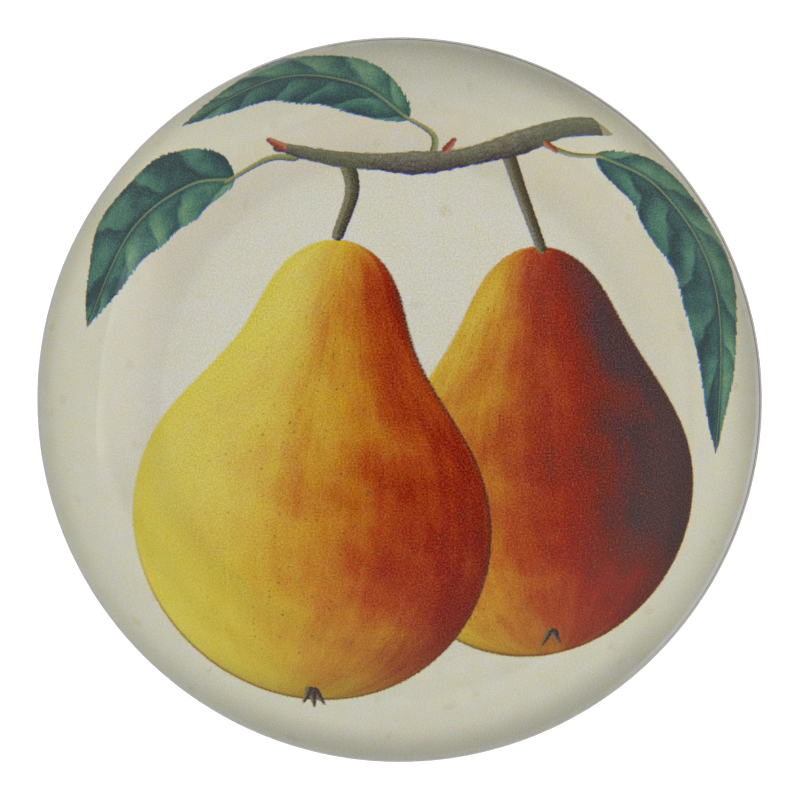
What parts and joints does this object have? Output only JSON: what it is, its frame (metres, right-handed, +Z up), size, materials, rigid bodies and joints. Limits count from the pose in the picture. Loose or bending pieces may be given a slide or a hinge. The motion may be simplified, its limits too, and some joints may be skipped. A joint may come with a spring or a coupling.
{
  "type": "glass dome paperweight",
  "caption": "Round solid-glass dome paperweight over a printed fruit picture on paper, with a felt base it rests on.",
  "frame": {"origin": "centre of the felt pad's underside, the flat face that the paperweight rests on", "axes": "+Z up through the crown of the dome, +Y towards the top of the printed picture, +X to the picture's right"},
  "size_m": [0.089, 0.089, 0.0302],
  "materials": {
    "clear_glass": "polished clear glass",
    "printed_paper": "matte cream paper with a printed fruit picture",
    "dark_felt": "pressed wool felt"
  },
  "bodies": {
    "root": {"glass_dome": "clear_glass", "paper_print": "printed_paper", "felt_pad": "dark_felt"}
  },
  "joints": []
}
